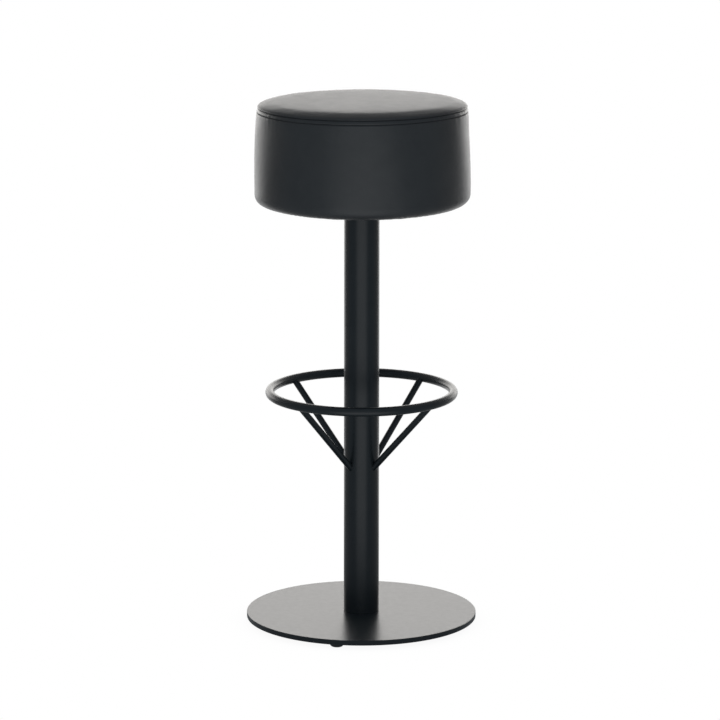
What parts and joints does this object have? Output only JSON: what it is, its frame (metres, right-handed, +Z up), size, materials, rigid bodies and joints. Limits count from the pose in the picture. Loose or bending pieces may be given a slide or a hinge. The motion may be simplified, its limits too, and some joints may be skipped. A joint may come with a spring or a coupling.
{
  "type": "bar stool",
  "caption": "Backless bar stool: thick drum cushion that swivels on a straight round column, ring footrest on diagonal struts, flat round base.",
  "frame": {"origin": "on the floor, on the column's axis, at the height of the glides' flat undersides", "axes": "+Z up along the column; -Y is the front and +X is to the right of someone who looks at the front"},
  "size_m": [0.3599, 0.36, 0.8265],
  "materials": {
    "powder_coat": "satin",
    "faux_leather": "satin",
    "foam": "matte",
    "plywood": "matte",
    "dust_cloth": "matte",
    "glide_nylon": "satin",
    "bush_nylon": "satin",
    "machined_steel": "satin",
    "zinc_steel": "satin"
  },
  "bodies": {
    "stand": {"base_disc": "powder_coat", "glide_1": "glide_nylon", "glide_2": "glide_nylon", "glide_3": "glide_nylon", "glide_4": "glide_nylon", "base_screws": "zinc_steel", "foot_plug": "machined_steel", "column_tube": "powder_coat", "footrest_ring": "powder_coat", "strut_front_left": "powder_coat", "strut_front_right": "powder_coat", "strut_back_right": "powder_coat", "strut_back_left": "powder_coat", "bearing_housing": "machined_steel", "upper_bush": "bush_nylon", "lower_bush": "bush_nylon"},
    "seat": {"swivel_spindle": "machined_steel", "thrust_washer": "bush_nylon", "spindle_washer": "zinc_steel", "spindle_screw": "zinc_steel", "seat_plate": "powder_coat", "seat_plate_screws": "zinc_steel", "tee_nuts": "zinc_steel", "seat_board": "plywood", "dust_cover": "dust_cloth", "staples": "zinc_steel", "seat_foam": "foam", "cover_band": "faux_leather", "cover_top": "faux_leather"}
  },
  "joints": [
    {"name": "seat_swivel", "type": "hinge", "parent": "stand", "child": "seat", "pos_m": [0, 0, 0.66], "axis": [0, 0, 1], "continuous": true}
  ]
}
